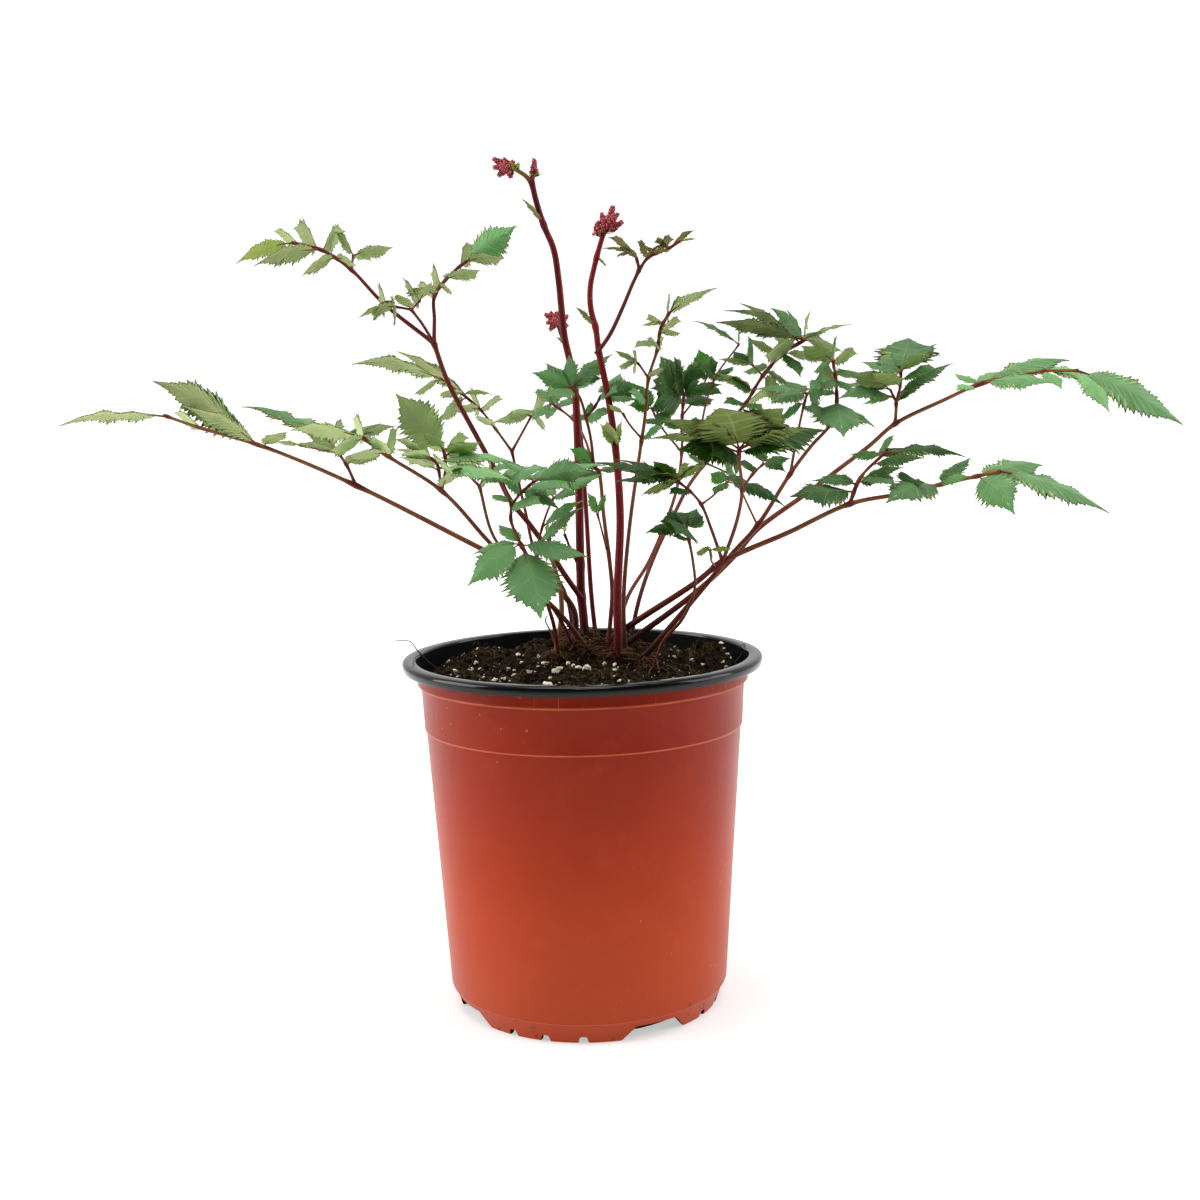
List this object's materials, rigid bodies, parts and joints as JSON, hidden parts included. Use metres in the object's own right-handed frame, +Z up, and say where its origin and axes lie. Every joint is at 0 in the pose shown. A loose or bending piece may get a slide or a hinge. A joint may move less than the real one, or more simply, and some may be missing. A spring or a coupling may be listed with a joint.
{
  "type": "potted garden perennial",
  "caption": "Young astilbe with fern-like toothed leaflets on thin reddish stalks and budding flower stems, growing in a round terracotta-coloured plastic nursery pot",
  "frame": {"origin": "On the surface under the pot's axis: the middle of the pot's flat underside", "axes": "+Z up the pot's axis; +X along the plant's widest spread, to the right of its front; -Y towards the front; -Z is the resting face's outward normal"},
  "size_m": [0.5241, 0.2027, 0.3865],
  "materials": {
    "pot": "satin terracotta-coloured moulded plastic",
    "growing_medium": "matt dark peat with pale perlite",
    "frond": "soft satin leaf with a bloom on its upper face",
    "flower_stem": "smooth dark red stem with fine pale hairs",
    "flower_bud": "matt crimson buds with green bases"
  },
  "bodies": {
    "root": {"pot": "pot", "growing_medium": "growing_medium", "frond_left_low": "frond", "frond_left_front": "frond", "frond_left_short": "frond", "frond_left_back": "frond", "frond_front_left": "frond", "frond_mid": "frond", "frond_upright": "frond", "frond_right_low": "frond", "frond_right_long": "frond", "frond_right_upright": "frond", "frond_right_back": "frond", "frond_back": "frond", "frond_small": "frond", "stem_tall": "flower_stem", "stem_right": "flower_stem", "stem_short": "flower_stem", "young_shoot": "frond", "flower_head_tall": "flower_bud", "flower_spike_tall": "flower_bud", "flower_head_right": "flower_bud", "flower_head_short": "flower_bud"}
  },
  "joints": []
}
